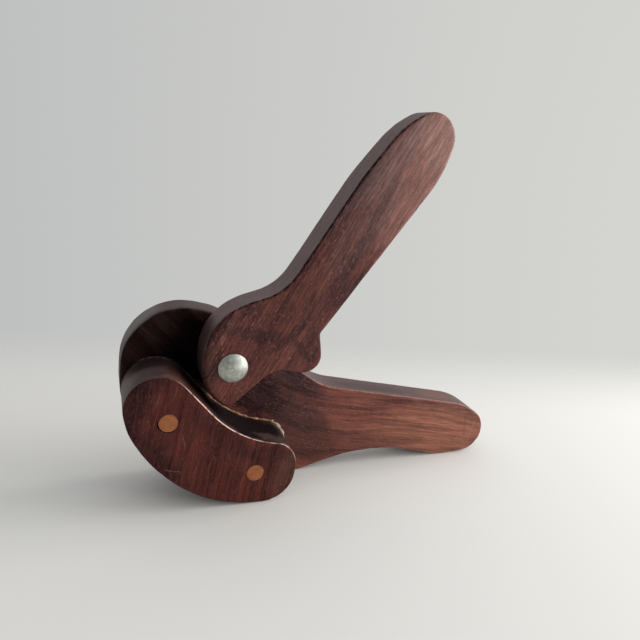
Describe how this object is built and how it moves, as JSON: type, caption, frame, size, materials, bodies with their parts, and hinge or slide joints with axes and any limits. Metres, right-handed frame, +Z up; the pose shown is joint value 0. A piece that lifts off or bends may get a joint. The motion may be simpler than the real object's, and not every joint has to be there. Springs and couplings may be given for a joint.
{
  "type": "lever nutcracker",
  "caption": "Hand-made rosewood lever nutcracker: a base board with a lower handle, a kidney-shaped jaw block dowelled to it, and a lever on a metal rivet.",
  "frame": {"origin": "bottom centre of the whole object, on the surface that it stands on", "axes": "+X runs along the lower handle towards its tip, +Z is up, -Y is the front, where the jaw block, the lever and the rivet's domed head are"},
  "size_m": [0.2301, 0.0484, 0.2075],
  "materials": {
    "board_wood": "oiled rosewood, worn satin",
    "jaw_wood": "oiled dark rosewood, worn satin",
    "lever_wood": "oiled rosewood, worn satin",
    "dowel_wood": "end grain of a light hardwood dowel",
    "rivet_metal": "satin",
    "washer_metal": "satin, slightly dull"
  },
  "bodies": {
    "base": {"base_board": "board_wood", "jaw_block": "jaw_wood", "upper_dowel": "dowel_wood", "lower_dowel": "dowel_wood", "pivot_rivet": "rivet_metal", "spacer_washer": "washer_metal", "rear_washer": "washer_metal"},
    "lever": {"lever": "lever_wood"}
  },
  "joints": [
    {"name": "lever_pivot", "type": "hinge", "parent": "base", "child": "lever", "pos_m": [-0.0621, -0.0084, 0.076], "axis": [0, -1, 0], "range_deg": [-60, 82]}
  ]
}
